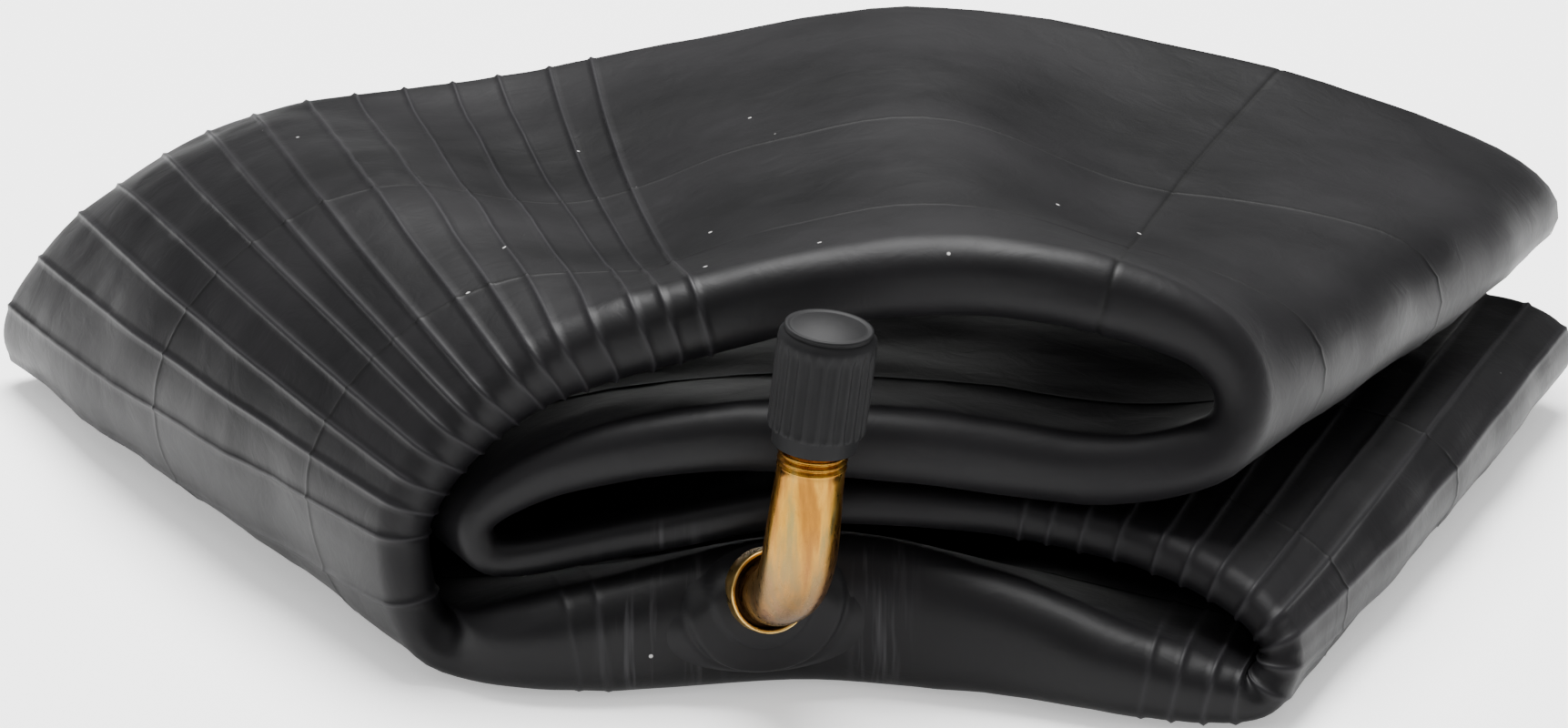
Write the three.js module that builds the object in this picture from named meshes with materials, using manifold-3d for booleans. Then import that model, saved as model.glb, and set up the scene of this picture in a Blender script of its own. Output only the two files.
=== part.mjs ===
// A folded rubber inner tube with a bent metal valve, as it lies before it is fitted to a wheel.
// Millimetres, +Z up. The origin is on the flat underside, below the middle of the fold.
import * as THREE from 'three';
import { mergeVertices } from 'three/addons/utils/BufferGeometryUtils.js';
import Module from 'manifold-3d';

const wasm = await Module();
wasm.setup();

// ---- driving dimensions ----
const foldedWidth = 200;        // across the back edge, outer fold to outer fold
const foldedDepth = 116;        // the flattened tube, rim edge to tread edge
const foldedHeight = 50.8;      // four layers at the rim edge
const wall = 1.7;               // rubber wall
const leastHollow = 0.35;       // half the air gap that is left inside a tight fold
const frontRounding = 5.5;      // how far the rim edge takes to round over
const edgeFullness = 0.8;       // below 1 the rim edge is squarer than an ellipse
const swellShare = 0.26;        // share of the depth over which the rim edge thins to the rest
const pressed = 0.05;           // how far the underside is pressed flat
const clearance = 0.3;          // gap between pieces that touch

const padWidth = 28;            // moulded patch round the valve
const padRimThickness = 1;
const padThickness = 2;
const padMargin = 0.6;          // patch to the top and bottom of the rim edge
const bossWidth = 17;           // raised middle of the patch

const valveAcross = -2;         // where the valve leaves the rim edge
const valveRise = 1.18;         // and how high, as a share of the room its flange leaves above the middle
const valveYaw = 22;            // degrees, the base turns to the right
const valvePitch = 14;          // degrees, and up
const stemLean = [0.116, -0.05, 1]; // the way the upright part of the stem points
const elbowReach = 9.4;         // base to the upright part's axis
const stemHeight = 30.4;        // elbow axis to the tip
const bendRadius = 6.5;
const stemRadius = 3.85;        // outside of the thread
const collarLip = 0.9;          // bright ring where the stem leaves the rubber, beyond the stem
const collarHeight = 0.9;       // above the patch
const flangeLip = 0.4;          // head held inside the patch, beyond the ring
const flangeThickness = 0.5;
const footReach = 6;            // the foot is cut from a blank that starts this far inside the rim edge
const spigotRadius = 2.6;       // passes through the tube's wall
const passageRadius = 1.5;

const coreBoreWall = 0.95;      // stem wall round the valve core's bore
const plugDrop = 0.6;           // plug below the stem's tip
const plugLength = 5;
const plugAirWay = 0.7;         // round the pin, inside the plug
const barrelStep = 1;           // the barrel is this much slimmer than its bore
const barrelLength = 8.9;
const barrelWall = 0.35;
const barrelEnd = 1.1;          // thickness of the barrel's top
const barrelSealLength = 2.6;
const barrelSealDrop = 0.7;     // below the barrel's top
const springSeat = 0.8;         // ledge that carries the spring
const springRoom = 5.7;         // from the barrel's top end to the ledge
const springWire = 0.15;
const springTurns = 6;
const pinRadius = 0.5;
const pinDrop = 0.3;            // pin below the stem's tip
const pinTravel = 1.2;
const pinCollarThickness = 0.5;
const sealThickness = 0.6;
const cupThickness = 1.2;

const capOverlap = 11.7;        // how far the cap reaches down from the stem's tip
const capWall = 1.3;
const capCrown = 1.7;
const capCollarWall = 0.55;
const capCollarHeight = 1.8;
const capFlutes = 24;
const fluteDepth = 0.35;

// ---- mesh resolution ----
const stepsPerStation = 3;
const roundSides = 32;

// ---- finishes ----
function finish(color, roughness, metalness) {
  return new THREE.MeshStandardMaterial({ color, roughness, metalness });
}
const butylRubber = finish(0x333335, 0.6, 0);
const patchRubber = finish(0x2c2c2e, 0.7, 0);
const platedBrass = finish(0xc08a3e, 0.35, 1);
const blackPlastic = finish(0x2b2c2e, 0.5, 0);
const plainBrass = finish(0xb5954f, 0.4, 1);
const springSteel = finish(0x9a9a9c, 0.35, 1);
const sealRubber = finish(0x1e1e1f, 0.8, 0);

// ---- the fold ----
// The flattened tube is a band whose front edge is the rim side and whose back edge is the tread side.
// It is folded into four layers. Each station is one straight line across the band:
// front x, y, z, back x, y, z, thickness at the front edge, thickness behind it, crown outwards,
// and 1 where the band lies flat on the ground.
const stations = [
  [3, -4.2, 8.8, 2, 112, 3.2, 17.6, 6.4, 0, 1], // bottom layer, at the valve
  [-18, -7.5, 6.9, -39, 110, 3.2, 13.8, 6.4, 0, 1],
  [-31, -6, 5.3, -70, 106, 3.2, 9.6, 6, 0, 1],
  [-38.4, -1.5, 7.2, -92.5, 101, 3.2, 6.6, 5.6, 1, 0.5], // left outer fold
  [-41, 0, 13.7, -99.8, 98, 5.8, 6, 5, 3, 0],
  [-39.9, 0, 20.7, -95.8, 99, 13.4, 6.6, 6, 5.5, 0],
  [-34, 0, 28.7, -86.5, 101.5, 22, 7.5, 6.2, 6.5, 0],
  [-24.5, 0, 35.9, -69, 106, 30.6, 8.5, 6.4, 4.5, 0], // top layer
  [-11, 0.5, 41.6, -39, 111, 34.6, 9.2, 6.4, -3.5, 0],
  [5, 1, 45, -11, 113, 39.2, 9.6, 6.4, -0.5, 0],
  [20, 1, 46.2, 17, 113.5, 43.6, 9.6, 6.4, 0, 0],
  [34, 1, 44.8, 46, 111, 40.4, 9.2, 6.4, -5, 0],
  [45, 1, 40, 76, 107, 33.4, 8.2, 6.2, -2, 0],
  [49.3, 0.5, 33, 97, 102, 24.8, 7, 5.4, 3, 0], // upper right fold
  [46, -1, 27, 95, 102, 19.2, 7.6, 5.4, 1, 0],
  [34, -3, 25.2, 73, 106, 18.8, 8.2, 5.6, 0, 0], // second layer
  [15, -4, 28.2, 36, 111, 18.6, 8.6, 5.6, 0, 0],
  [-4, -4, 29.6, -8, 112, 18.4, 8, 5.4, 0, 0],
  [-21, -3, 26.6, -52, 109, 17.2, 6.4, 5.2, 0, 0],
  [-31, -2, 21.6, -81, 103, 15.6, 4.4, 4.2, 0, 0], // left inner fold
  [-33.6, -1.5, 17.6, -87.5, 101, 12.4, 3.8, 3.6, 0, 0],
  [-30, -1, 14.4, -82, 103, 9.4, 4.2, 4, 0, 0],
  [-15, -1, 17.2, -48, 109, 10.2, 4.8, 5, 0, 0], // third layer
  [3, -1, 20.8, -4, 112, 10.4, 5, 5.2, 0, 0],
  [20, -1, 20, 38, 109, 10.6, 5, 5.2, 0, 0],
  [35, -2, 17.4, 71, 101, 10.8, 5.2, 5.2, 0, 0],
  [46, -6, 14.2, 92, 92, 11.4, 5.2, 5, 1, 0], // lower right fold
  [52.2, -10.5, 10.6, 99.2, 88.5, 9, 4.8, 4.6, 2, 0],
  [53.4, -13.5, 6.4, 97.5, 90, 5.2, 5, 4.6, 1, 0],
  [48, -15.5, 3.8, 85, 97, 3.1, 7, 5.6, 0, 1],
  [36, -13.5, 5.5, 60, 104, 3.2, 10.8, 6.2, 0, 1], // bottom layer again
  [21, -8.5, 7.8, 32, 110, 3.2, 15.6, 6.4, 0, 1],
];
const drawnWidth = 200; // the sizes and centre that the stations are drawn at
const drawnDepth = 116;
const drawnHeight = 50.8;
const drawnCentre = 52;

const acrossScale = foldedWidth / drawnWidth;
const depthScale = foldedDepth / drawnDepth;
const riseScale = foldedHeight / drawnHeight;
const rails = stations.map(([fx, fy, fz, bx, by, bz, tFront, tRest, crown, lies]) => ({
  front: new THREE.Vector3(fx * acrossScale, (fy - drawnCentre) * depthScale, fz * riseScale),
  back: new THREE.Vector3(bx * acrossScale, (by - drawnCentre) * depthScale, bz * riseScale),
  sizes: new THREE.Vector4(tFront * riseScale, tRest * riseScale, crown * riseScale, lies),
}));

function blendStations(key, at) {
  const n = rails.length;
  const i = Math.floor(at);
  const f = at - i;
  const [a, b, c, d] = [-1, 0, 1, 2].map((k) => rails[(((i + k) % n) + n) % n][key]);
  const weights = [
    -0.5 * f + f * f - 0.5 * f ** 3,
    1 - 2.5 * f * f + 1.5 * f ** 3,
    0.5 * f + 2 * f * f - 1.5 * f ** 3,
    -0.5 * f * f + 0.5 * f ** 3,
  ];
  const out = a.clone().multiplyScalar(0);
  [a, b, c, d].forEach((p, k) => out.addScaledVector(p, weights[k]));
  return out;
}

function smoothStep(x) {
  const t = Math.min(Math.max(x, 0), 1);
  return t * t * (3 - 2 * t);
}

// Half the band's thickness: at runs round the fold in stations, w from front to back.
function halfThickness(at, w) {
  const { x: tFront, y: tRest } = blendStations('sizes', at);
  return (tFront + (tRest - tFront) * smoothStep(w / swellShare)) / 2;
}

// A point of the band's middle surface. Where the band lies flat its underside is pressed to the ground.
function bandPoint(at, w) {
  const middle = (v) => blendStations('front', v).add(blendStations('back', v));
  const along = middle(at + 0.02).sub(middle(at - 0.02));
  const outwards = new THREE.Vector3(-along.z, 0, along.x).normalize();
  const front = blendStations('front', at);
  const back = blendStations('back', at);
  const { z: crown, w: lies } = blendStations('sizes', at);
  const point = front.lerp(back, w).addScaledVector(outwards, crown * 4 * w * (1 - w));
  point.z += lies * (halfThickness(at, w) - pressed - point.z);
  return point;
}

// The normal there, towards the inside of the fold, and how much the band curves towards it.
function bandFrame(at, w) {
  const du = 0.03;
  const dw = 0.01;
  const before = bandPoint(at - du, w);
  const after = bandPoint(at + du, w);
  const here = bandPoint(at, w);
  const along = after.clone().sub(before);
  const across = bandPoint(at, w + dw).sub(bandPoint(at, w - dw));
  const normal = across.clone().cross(along).normalize();
  const step = along.length() / 2;
  const bend = before.add(after).addScaledVector(here, -2).multiplyScalar(1 / (step * step));
  return { here, normal, bend: bend.dot(normal) };
}

// One side of the section, as distances along the band and half thicknesses there.
function sectionSide(at, inset, rings) {
  const { x: tFront, y: tRest } = blendStations('sizes', at);
  const depth = blendStations('front', at).distanceTo(blendStations('back', at));
  const frontRound = Math.min(tFront / 2, frontRounding) - inset;
  const backRound = tRest / 2 - inset;
  const halfAt = (w) => Math.max(halfThickness(at, w) - inset, leastHollow);
  const side = [];
  for (let i = 0; i <= rings.front; i++) {
    const turn = (Math.PI / 2) * (i / rings.front);
    const w = (inset + Math.max(frontRound, leastHollow) * (1 - Math.cos(turn))) / depth;
    side.push([w, halfAt(w) * Math.sin(turn) ** edgeFullness]);
  }
  const start = side[rings.front][0];
  const end = 1 - (inset + Math.max(backRound, leastHollow)) / depth;
  for (let i = 1; i < rings.middle; i++) {
    const w = start + (end - start) * (i / rings.middle);
    side.push([w, halfAt(w)]);
  }
  for (let i = 0; i <= rings.back; i++) {
    const turn = (Math.PI / 2) * (1 - i / rings.back);
    const w = 1 - (inset + Math.max(backRound, leastHollow) * (1 - Math.cos(turn))) / depth;
    side.push([w, halfAt(w) * Math.sin(turn)]);
  }
  return side;
}

// The section's whole outline at one station. The concave side of a tight fold is held back.
function sectionOutline(at, inset, rings) {
  const side = sectionSide(at, inset, rings);
  const outside = side.map(([w, half]) => [w, half]);
  const inside = side.slice(1, -1).reverse().map(([w, half]) => [w, -half]);
  return [...outside, ...inside].map(([w, half]) => {
    const { here, normal, bend } = bandFrame(at, w);
    const room = bend * half > 0 ? 0.8 / Math.abs(bend) : Infinity;
    const point = here.addScaledVector(normal, Math.sign(half) * Math.min(Math.abs(half), room));
    point.z = Math.max(point.z, inset);
    return point;
  });
}

// Stitches outlines into a closed mesh: a loop of outlines, or a bar with flat ends.
function loft(outlines, closed) {
  const across = outlines[0].length;
  const positions = outlines.flat().flatMap((p) => p.toArray());
  const faces = [];
  const spans = closed ? outlines.length : outlines.length - 1;
  for (let i = 0; i < spans; i++) {
    for (let j = 0; j < across; j++) {
      const a = i * across + j;
      const b = ((i + 1) % outlines.length) * across + j;
      const c = ((i + 1) % outlines.length) * across + ((j + 1) % across);
      const d = i * across + ((j + 1) % across);
      faces.push(a, c, b, a, d, c);
    }
  }
  if (!closed) {
    const last = (outlines.length - 1) * across;
    for (let j = 1; j < across - 1; j++) {
      faces.push(0, j + 1, j, last, last + j, last + j + 1);
    }
  }
  const geometry = new THREE.BufferGeometry();
  geometry.setAttribute('position', new THREE.Float32BufferAttribute(positions, 3));
  geometry.setIndex(faces);
  return geometry;
}

function bandSkin(inset, rings) {
  const count = stations.length * stepsPerStation;
  const outlines = Array.from({ length: count }, (_, i) => sectionOutline(i / stepsPerStation, inset, rings));
  return loft(outlines, true);
}

// ---- solids ----
function toSolid(geometry, matrix) {
  const plain = geometry.clone();
  plain.deleteAttribute('normal');
  plain.deleteAttribute('uv');
  if (matrix) plain.applyMatrix4(matrix);
  const merged = mergeVertices(plain, 1e-4);
  const corners = Array.from(merged.index.array);
  const whole = [];
  for (let i = 0; i < corners.length; i += 3) {
    const [a, b, c] = corners.slice(i, i + 3);
    if (a !== b && b !== c && c !== a) whole.push(a, b, c);
  }
  return new wasm.Manifold(new wasm.Mesh({
    numProp: 3,
    vertProperties: new Float32Array(merged.attributes.position.array),
    triVerts: new Uint32Array(whole),
  }));
}

function toGeometry(solid) {
  const mesh = solid.getMesh();
  const geometry = new THREE.BufferGeometry();
  geometry.setAttribute('position', new THREE.BufferAttribute(mesh.vertProperties, 3));
  geometry.setIndex(new THREE.BufferAttribute(mesh.triVerts, 1));
  geometry.computeVertexNormals();
  return geometry;
}

// Cutting two curved skins can leave crumbs, so this keeps the piece itself.
function withoutCrumbs(solid) {
  return solid.decompose().sort((a, b) => b.volume() - a.volume())[0];
}

// A turned piece from [radius, height] points. Its axis is +Z.
function turned(profile, sides = roundSides) {
  const closed = profile[0][0] > 0 ? [...profile, profile[0]] : profile;
  return new THREE.LatheGeometry(closed.map(([r, z]) => new THREE.Vector2(r, z)), sides).rotateX(Math.PI / 2);
}

const ring = (inner, outer, low, high, sides) =>
  turned([[inner, low], [outer, low], [outer, high], [inner, high]], sides);
const rod = (radius, low, high, sides) =>
  turned([[0, low], [radius, low], [radius, high], [0, high]], sides);

// ---- sizes that follow ----
const collarRadius = stemRadius + collarLip;
const flangeRadius = collarRadius + flangeLip;
const coreBoreRadius = stemRadius - coreBoreWall;
const plugRadius = coreBoreRadius - clearance;
const barrelRadius = coreBoreRadius - barrelStep;
const barrelInside = barrelRadius - barrelWall;
const barrelBoreRadius = barrelRadius + 0.45;
const pinHole = pinRadius + clearance;

// Heights along the stem, with the tip at zero.
const barrelTop = -(plugDrop + plugLength + clearance);
const barrelSealTop = barrelTop - barrelSealDrop;
const barrelSealFoot = barrelSealTop - barrelSealLength;
const coreBoreDepth = 0.4 - barrelSealFoot;
const pinCollarTop = barrelTop - barrelEnd - clearance;
const ledgeTop = barrelTop - barrelEnd - springRoom;
const barrelFoot = barrelTop - barrelLength;
const cupSealTop = barrelFoot - clearance;
const cupTop = cupSealTop - sealThickness - clearance;
const cupFoot = cupTop - cupThickness;
const barrelBoreDepth = pinTravel + 0.6 - cupFoot;
const capRadius = stemRadius + clearance + capWall;
const capCollarRadius = stemRadius + clearance + capCollarWall;
const capFoot = -capOverlap;
const capRoof = clearance + sealThickness + clearance;
const capTop = capRoof + capCrown;

// ---- where the valve goes ----
const rad = THREE.MathUtils.degToRad;
const baseDirection = new THREE.Vector3(
  Math.sin(rad(valveYaw)) * Math.cos(rad(valvePitch)),
  -Math.cos(rad(valveYaw)) * Math.cos(rad(valvePitch)),
  Math.sin(rad(valvePitch)),
);
const stemDirection = new THREE.Vector3(...stemLean).normalize();

// The station whose rim edge is at valveAcross.
function stationAtValve() {
  let [low, high] = [-1, 1];
  for (let i = 0; i < 30; i++) {
    const middle = (low + high) / 2;
    if (bandPoint(middle, 0).x > valveAcross) low = middle;
    else high = middle;
  }
  return low;
}

// The rim edge's half height, its depth of rounding and the band's depth at a station.
function rimEdge(at) {
  const { x: tFront } = blendStations('sizes', at);
  const depth = blendStations('front', at).distanceTo(blendStations('back', at));
  return { half: tFront / 2, round: Math.min(tFront / 2, frontRounding), depth };
}

// A point on the rim edge, from -1 at its underside to 1 at its top, grown outwards.
function rimPoint(at, height, grow) {
  const { half, round, depth } = rimEdge(at);
  const turn = Math.asin(Math.abs(height) ** (1 / edgeFullness));
  const w = (round - (round + grow) * Math.cos(turn)) / depth;
  const { here, normal } = bandFrame(at, w);
  return here.addScaledVector(normal, height * (half + grow));
}

const valveStation = stationAtValve();
const faceMiddle = rimPoint(valveStation, 0, 0);
const baseRise = valveRise * (1 - flangeRadius / rimEdge(valveStation).half);
const base = rimPoint(valveStation, baseRise, 0);
const elbow = base.clone().addScaledVector(baseDirection, elbowReach);
const tip = elbow.clone().addScaledVector(stemDirection, stemHeight);

function along(origin, direction) {
  const turn = new THREE.Quaternion().setFromUnitVectors(new THREE.Vector3(0, 0, 1), direction);
  return new THREE.Matrix4().compose(origin, turn, new THREE.Vector3(1, 1, 1));
}
const atBase = along(base, baseDirection);
const atTip = along(tip, stemDirection);

// The rim edge round the valve as a solid bar, grown outwards, that the patch and the flange are cut by.
// Its outlines are at the same stations as the tube's.
function rimBar(grow) {
  const reach = 5;
  const rows = 12;
  const middleColumn = Math.round(valveStation * stepsPerStation);
  const outlines = [];
  for (let i = reach; i >= -reach; i--) {
    const at = (middleColumn + i) / stepsPerStation;
    const face = [];
    for (let j = 0; j <= rows; j++) {
      const turn = (Math.PI / 2) * (1 - (2 * j) / rows);
      face.push(rimPoint(at, Math.sign(turn) * Math.abs(Math.sin(turn)) ** edgeFullness, grow));
    }
    const backwards = new THREE.Vector3(0, padWidth / 2, 0);
    outlines.push([...face, face[rows].clone().add(backwards), face[0].clone().add(backwards)]);
  }
  return toSolid(loft(outlines, false));
}

// ---- the tube ----
function tubeBody() {
  const outside = toSolid(bandSkin(0, { front: 3, middle: 5, back: 2 }));
  const hollow = toSolid(bandSkin(wall, { front: 2, middle: 4, back: 2 }));
  const hole = toSolid(rod(spigotRadius + clearance, -wall - 2, 3, 24), atBase);
  return outside.subtract(hollow).subtract(hole);
}

// An oval blank for the patch, straight through the rim edge.
function ovalBlank(width) {
  const height = 2 * rimEdge(valveStation).half - 2 * padMargin;
  const reach = padWidth / 4;
  const place = along(faceMiddle, new THREE.Vector3(0, -1, 0));
  return toSolid(rod(1, -reach, reach, 40), place.scale(new THREE.Vector3(width / 2, height / 2, 1)));
}

function valvePad() {
  const collarHole = toSolid(rod(collarRadius + clearance, 0, 3 * padThickness), atBase);
  const sheet = ovalBlank(padWidth).intersect(rimBar(padRimThickness));
  const boss = ovalBlank(bossWidth).intersect(rimBar(padThickness));
  return withoutCrumbs(sheet.add(boss)
    .subtract(rimBar(clearance))
    .subtract(stemFoot(clearance))
    .subtract(collarHole));
}

// ---- the stem ----
function stemFoot(grow) {
  const flangeTop = clearance + flangeThickness + grow;
  const collarTop = padThickness + collarHeight;
  return toSolid(turned([
    [0, -footReach], [flangeRadius + grow, -footReach], [flangeRadius + grow, flangeTop],
    [collarRadius + grow, flangeTop], [collarRadius + grow, collarTop - 0.3],
    [collarRadius + grow - 0.3, collarTop], [0, collarTop],
  ]), atBase);
}

// A round bar along the stem's bent axis, from startAt before the base to endAt below the tip.
function bentBar(radius, startAt, endAt, sides) {
  const bendStart = elbow.clone().addScaledVector(baseDirection, -bendRadius);
  const bendEnd = elbow.clone().addScaledVector(stemDirection, bendRadius);
  const bend = new THREE.QuadraticBezierCurve3(bendStart, elbow, bendEnd);
  const side = new THREE.Vector3().crossVectors(baseDirection, stemDirection).normalize();
  const section = (centre, tangent) => {
    const up = new THREE.Vector3().crossVectors(tangent, side);
    return Array.from({ length: sides }, (_, j) => {
      const turn = (2 * Math.PI * j) / sides;
      const outwards = side.clone().multiplyScalar(Math.cos(turn)).addScaledVector(up, Math.sin(turn));
      return centre.clone().addScaledVector(outwards, radius);
    });
  };
  const outlines = [section(base.clone().addScaledVector(baseDirection, startAt), baseDirection)];
  for (let i = 0; i <= 10; i++) outlines.push(section(bend.getPoint(i / 10), bend.getTangent(i / 10)));
  outlines.push(section(tip.clone().addScaledVector(stemDirection, -endAt), stemDirection));
  return toSolid(loft(outlines, false));
}

function valveStem() {
  const spigot = toSolid(rod(spigotRadius, -wall - 1.5, 1, 24), atBase);
  const barrelBore = toSolid(rod(barrelBoreRadius, -barrelBoreDepth, 1, 24), atTip);
  const coreBore = toSolid(rod(coreBoreRadius, -coreBoreDepth, 1, 24), atTip);
  return withoutCrumbs(stemFoot(0)
    .subtract(rimBar(clearance))
    .add(spigot)
    .add(bentBar(stemRadius, padThickness, 0, 28))
    .subtract(bentBar(passageRadius, -wall - 3, barrelBoreDepth - 1, 12))
    .subtract(barrelBore)
    .subtract(coreBore));
}

// ---- the valve core ----
function corePlug() {
  const plug = toSolid(ring(pinRadius + plugAirWay, plugRadius, -plugDrop - plugLength, -plugDrop, 24), atTip);
  const flat = new THREE.BoxGeometry(3, 8, 2.2);
  const sides = [-1, 1].map((s) => {
    const place = new THREE.Matrix4().makeTranslation(s * (plugRadius + 0.8), 0, -plugDrop - 0.9);
    return toSolid(flat, atTip.clone().multiply(place));
  });
  return plug.subtract(sides[0]).subtract(sides[1]);
}

const coreBarrel = () => toSolid(turned([
  [pinHole, barrelTop], [pinHole, barrelTop - barrelEnd],
  [barrelInside, barrelTop - barrelEnd], [barrelInside, ledgeTop],
  [pinHole, ledgeTop], [pinHole, ledgeTop - springSeat],
  [barrelInside, ledgeTop - springSeat], [barrelInside, barrelFoot],
  [barrelRadius, barrelFoot], [barrelRadius, barrelTop],
], 20), atTip);

const coreBarrelSeal = () => toSolid(
  ring(barrelRadius + clearance, plugRadius, barrelSealFoot, barrelSealTop, 20), atTip);
const coreCupSeal = () => toSolid(
  ring(pinHole, barrelRadius - 0.2, cupSealTop - sealThickness, cupSealTop, 20), atTip);
const coreCup = () => toSolid(ring(pinHole, barrelRadius, cupFoot, cupTop, 20), atTip);

function corePin() {
  const headTop = cupFoot - clearance;
  const headRadius = pinHole + 0.2;
  const pinCollar = barrelInside - 0.35;
  return toSolid(turned([
    [0, headTop - 0.5], [headRadius, headTop - 0.5], [headRadius, headTop],
    [pinRadius, headTop], [pinRadius, pinCollarTop - pinCollarThickness],
    [pinCollar, pinCollarTop - pinCollarThickness], [pinCollar, pinCollarTop],
    [pinRadius, pinCollarTop], [pinRadius, -pinDrop - 0.2], [pinRadius - 0.2, -pinDrop], [0, -pinDrop],
  ], 16), atTip);
}

// The spring stands on the ledge and pushes the pin's collar up.
function coreSpring() {
  const low = ledgeTop + clearance + springWire;
  const high = pinCollarTop - pinCollarThickness - clearance - springWire;
  const middle = (pinRadius + barrelInside) / 2;
  const perTurn = 12;
  const count = springTurns * perTurn;
  const rise = (high - low) / count;
  const wireSides = 6;
  const outlines = [];
  for (let i = 0; i <= count; i++) {
    const turn = (2 * Math.PI * i) / perTurn;
    const outwards = new THREE.Vector3(Math.cos(turn), Math.sin(turn), 0);
    const centre = outwards.clone().multiplyScalar(middle).setZ(low + rise * i);
    outlines.push(Array.from({ length: wireSides }, (_, j) => {
      const a = (-2 * Math.PI * j) / wireSides;
      return centre.clone().addScaledVector(outwards, springWire * Math.cos(a))
        .add(new THREE.Vector3(0, 0, springWire * Math.sin(a)));
    }));
  }
  return toSolid(loft(outlines, false), atTip);
}

// ---- the cap ----
function flutedBlank() {
  const shape = new THREE.Shape();
  const valley = capRadius - fluteDepth;
  const perFlute = [[0, capRadius], [0.3, capRadius], [0.45, valley], [0.85, valley]];
  for (let i = 0; i < capFlutes; i++) {
    for (const [share, r] of perFlute) {
      const turn = (2 * Math.PI * (i + share)) / capFlutes;
      if (i === 0 && share === 0) shape.moveTo(r, 0);
      else shape.lineTo(r * Math.cos(turn), r * Math.sin(turn));
    }
  }
  shape.closePath();
  const grip = new THREE.ExtrudeGeometry(shape, { depth: capTop - capFoot + 2, bevelEnabled: false });
  return toSolid(grip.translate(0, 0, capFoot - 1));
}

function valveCap() {
  const shoulder = capTop - 1.9;
  const outside = toSolid(turned([
    [0, capFoot], [capCollarRadius, capFoot], [capCollarRadius, capFoot + capCollarHeight],
    [capRadius - 0.4, capFoot + capCollarHeight], [capRadius, capFoot + capCollarHeight + 0.5],
    [capRadius, shoulder], [capRadius - 0.55, shoulder + 0.55], [capRadius - 0.55, shoulder + 0.85],
    [capRadius - 0.85, shoulder + 1.15], [capRadius - 2.2, capTop - 0.3], [0, capTop],
  ], 48));
  const inside = toSolid(rod(stemRadius + clearance, capFoot - 1, capRoof, 32));
  return outside.intersect(flutedBlank()).subtract(inside).transform(Array.from(atTip.elements));
}

const capSeal = () => toSolid(rod(stemRadius - 0.2, clearance, clearance + sealThickness, 24), atTip);

// ---- the assembly ----
const innerTube = new THREE.Group();

function addPiece(name, solid, material) {
  const mesh = new THREE.Mesh(toGeometry(solid), material);
  mesh.name = name;
  innerTube.add(mesh);
}

addPiece('tube_body', tubeBody(), butylRubber);
addPiece('valve_pad', valvePad(), patchRubber);
addPiece('valve_stem', valveStem(), platedBrass);
addPiece('core_plug', corePlug(), plainBrass);
addPiece('core_barrel', coreBarrel(), plainBrass);
addPiece('core_barrel_seal', coreBarrelSeal(), sealRubber);
addPiece('core_pin', corePin(), plainBrass);
addPiece('core_spring', coreSpring(), springSteel);
addPiece('core_cup', coreCup(), plainBrass);
addPiece('core_cup_seal', coreCupSeal(), sealRubber);
addPiece('cap_seal', capSeal(), sealRubber);
addPiece('valve_cap', valveCap(), blackPlastic);

export default innerTube;
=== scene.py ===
import math

import bmesh
import bpy
import numpy as np
from mathutils import Matrix, Vector


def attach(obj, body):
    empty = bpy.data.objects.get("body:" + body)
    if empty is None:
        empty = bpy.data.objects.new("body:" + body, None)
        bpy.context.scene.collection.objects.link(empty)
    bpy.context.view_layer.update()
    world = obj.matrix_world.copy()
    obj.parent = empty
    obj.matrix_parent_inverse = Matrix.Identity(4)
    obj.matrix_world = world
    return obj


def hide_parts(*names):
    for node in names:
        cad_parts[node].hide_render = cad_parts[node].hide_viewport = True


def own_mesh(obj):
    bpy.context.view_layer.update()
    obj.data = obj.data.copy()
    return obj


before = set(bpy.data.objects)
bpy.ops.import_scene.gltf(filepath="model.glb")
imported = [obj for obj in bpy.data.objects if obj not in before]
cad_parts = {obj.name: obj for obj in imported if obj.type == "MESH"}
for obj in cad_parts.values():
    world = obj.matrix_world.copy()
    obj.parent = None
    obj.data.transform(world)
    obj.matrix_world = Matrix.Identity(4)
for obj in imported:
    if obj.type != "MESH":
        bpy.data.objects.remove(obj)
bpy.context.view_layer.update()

mm = 0.001

# ---- camera ----
cameraView = {"aim": (0, -0.052, 0.0375), "distance": 0.55, "elevation": 20, "lens": 114.9}


def makeCamera():
    tilt = math.radians(cameraView["elevation"])
    data = bpy.data.cameras.new("camera")
    data.lens = cameraView["lens"]
    data.clip_start = 0.02
    camera = bpy.data.objects.new("camera", data)
    away = Vector((0, -math.cos(tilt), math.sin(tilt))) * cameraView["distance"]
    camera.location = Vector(cameraView["aim"]) + away
    camera.rotation_euler = (math.pi / 2 - tilt, 0, 0)
    bpy.context.collection.objects.link(camera)
    bpy.context.scene.camera = camera


makeCamera()
print("camera in place")


# ---- helpers ----
def linearColour(code):
    # sRGB hex to the linear colour that a shader takes
    parts = [int(code[i:i + 2], 16) / 255 for i in (0, 2, 4)]
    return [p / 12.92 if p <= 0.04045 else ((p + 0.055) / 1.055) ** 2.4 for p in parts] + [1]


def addNode(tree, kind, inputs=None, **settings):
    # inputs are values, or output sockets to link from
    node = tree.nodes.new(kind)
    for name, value in settings.items():
        setattr(node, name, value)
    for name, value in (inputs or {}).items():
        if isinstance(value, bpy.types.NodeSocket):
            tree.links.new(value, node.inputs[name])
        else:
            node.inputs[name].default_value = value
    return node


def newMaterial(name):
    material = bpy.data.materials.new(name)
    material.use_nodes = True
    tree = material.node_tree
    tree.nodes.clear()
    shader = addNode(tree, "ShaderNodeBsdfPrincipled")
    addNode(tree, "ShaderNodeOutputMaterial", {"Surface": shader.outputs[0]})
    place = addNode(tree, "ShaderNodeTexCoord").outputs["Object"]
    return material, tree, shader, place


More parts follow.
